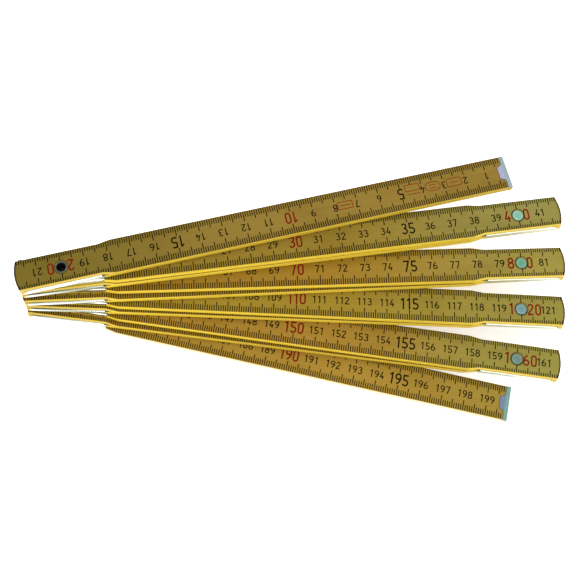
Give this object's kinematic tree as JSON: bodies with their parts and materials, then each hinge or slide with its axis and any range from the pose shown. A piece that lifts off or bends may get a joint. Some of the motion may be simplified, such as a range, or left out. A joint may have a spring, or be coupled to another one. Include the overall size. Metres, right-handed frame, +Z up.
{
  "type": "folding rule",
  "caption": "Wooden folding rule with flat slats stacked on riveted steel joints, printed length scales on both edges and steel caps on its ends, lying partly fanned open",
  "frame": {"origin": "middle of the footprint of the partly opened rule, on the surface it lies on", "axes": "+X along the fan from the stacked joints of the 20 cm mark side towards the end caps, +Y across the fan, +Z up through the stack of slats"},
  "size_m": [0.2394, 0.1142, 0.0339],
  "materials": {
    "lacquered_wood": "yellow lacquered hardwood with printed scale, semi-gloss",
    "joint_steel": "bright zinc-plated spring steel",
    "rivet_steel": "zinc-plated steel with a faint green tint",
    "cap_steel": "zinc-plated steel with a blue and violet sheen"
  },
  "bodies": {
    "leg_01": {"slat_01": "lacquered_wood", "end_cap_000": "cap_steel", "joint_channel_020": "joint_steel", "joint_rivet_020": "rivet_steel"},
    "leg_02": {"slat_02": "lacquered_wood", "joint_channel_040": "joint_steel", "joint_rivet_040": "rivet_steel", "joint_plate_020": "joint_steel"},
    "leg_03": {"slat_03": "lacquered_wood", "joint_channel_060": "joint_steel", "joint_rivet_060": "rivet_steel", "joint_plate_040": "joint_steel"},
    "leg_04": {"slat_04": "lacquered_wood", "joint_channel_080": "joint_steel", "joint_rivet_080": "rivet_steel", "joint_plate_060": "joint_steel"},
    "leg_05": {"slat_05": "lacquered_wood", "joint_channel_100": "joint_steel", "joint_rivet_100": "rivet_steel", "joint_plate_080": "joint_steel"},
    "leg_06": {"slat_06": "lacquered_wood", "joint_channel_120": "joint_steel", "joint_rivet_120": "rivet_steel", "joint_plate_100": "joint_steel"},
    "leg_07": {"slat_07": "lacquered_wood", "joint_channel_140": "joint_steel", "joint_rivet_140": "rivet_steel", "joint_plate_120": "joint_steel"},
    "leg_08": {"slat_08": "lacquered_wood", "joint_channel_160": "joint_steel", "joint_rivet_160": "rivet_steel", "joint_plate_140": "joint_steel"},
    "leg_09": {"slat_09": "lacquered_wood", "joint_channel_180": "joint_steel", "joint_rivet_180": "rivet_steel", "joint_plate_160": "joint_steel"},
    "leg_10": {"slat_10": "lacquered_wood", "joint_plate_180": "joint_steel", "end_cap_200": "cap_steel"}
  },
  "joints": [
    {"name": "pivot_020", "type": "hinge", "parent": "leg_02", "child": "leg_01", "pos_m": [-0.09987, 0.00289, 0.03055], "axis": [0, 0, 1], "range_deg": [-5.8, 174.2]},
    {"name": "pivot_040", "type": "hinge", "parent": "leg_03", "child": "leg_02", "pos_m": [0.09832, 0.02969, 0.02715], "axis": [0, 0, -1], "range_deg": [-0.15, 179.85]},
    {"name": "pivot_060", "type": "hinge", "parent": "leg_04", "child": "leg_03", "pos_m": [-0.0998, 0.00237, 0.02375], "axis": [0, 0, 1], "range_deg": [-5.75, 174.25]},
    {"name": "pivot_080", "type": "hinge", "parent": "leg_05", "child": "leg_04", "pos_m": [0.10006, 0.0097, 0.02035], "axis": [0, 0, -1], "range_deg": [-0.8, 179.2]},
    {"name": "pivot_100", "type": "hinge", "parent": "leg_06", "child": "leg_05", "pos_m": [-0.09968, -0.00042, 0.01695], "axis": [0, 0, 1], "range_deg": [-5.55, 174.45]},
    {"name": "pivot_120", "type": "hinge", "parent": "leg_07", "child": "leg_06", "pos_m": [0.10011, -0.00966, 0.01355], "axis": [0, 0, -1], "range_deg": [-0.45, 179.55]},
    {"name": "pivot_140", "type": "hinge", "parent": "leg_08", "child": "leg_07", "pos_m": [-0.09975, -0.00198, 0.01015], "axis": [0, 0, 1], "range_deg": [-6.05, 173.95]},
    {"name": "pivot_160", "type": "hinge", "parent": "leg_09", "child": "leg_08", "pos_m": [0.09818, -0.03068, 0.00675], "axis": [0, 0, -1], "range_deg": [-0.75, 179.25]},
    {"name": "pivot_180", "type": "hinge", "parent": "leg_10", "child": "leg_09", "pos_m": [-0.10011, -0.00458, 0.00335], "axis": [0, 0, 1], "range_deg": [-5.5, 174.5]}
  ]
}
